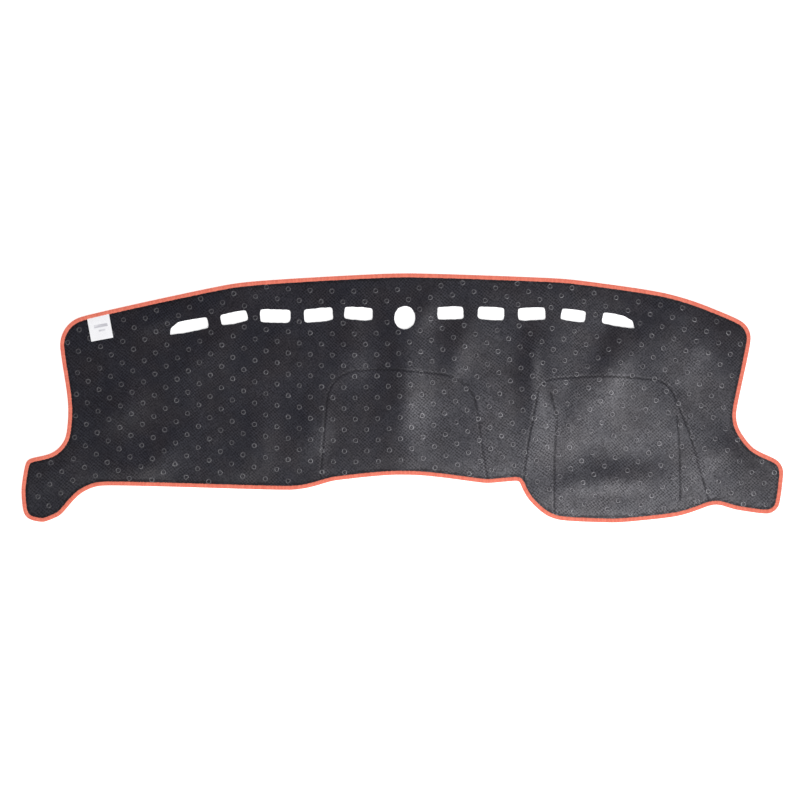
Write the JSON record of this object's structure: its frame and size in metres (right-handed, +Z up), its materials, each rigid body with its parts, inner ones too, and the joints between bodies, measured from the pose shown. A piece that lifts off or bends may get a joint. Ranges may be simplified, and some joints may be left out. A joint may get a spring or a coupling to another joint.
{
  "type": "dashboard cover mat",
  "caption": "Soft fabric cover cut to a car dashboard, with vent slots, a round sensor hole and an overlocked coloured edge, lying with its non-slip backing up.",
  "frame": {"origin": "middle of the mat's outer box, on the surface that the mat lies on", "axes": "+X along the dashboard, +Y towards the windscreen edge, +Z up, out of the non-slip backing"},
  "size_m": [1.5, 0.4904, 0.0081],
  "materials": {
    "backing": "matte",
    "binding": "matte",
    "label": "satin"
  },
  "bodies": {
    "root": {"mat_sheet": "backing", "edge_binding": "binding", "care_tag": "label"}
  },
  "joints": []
}
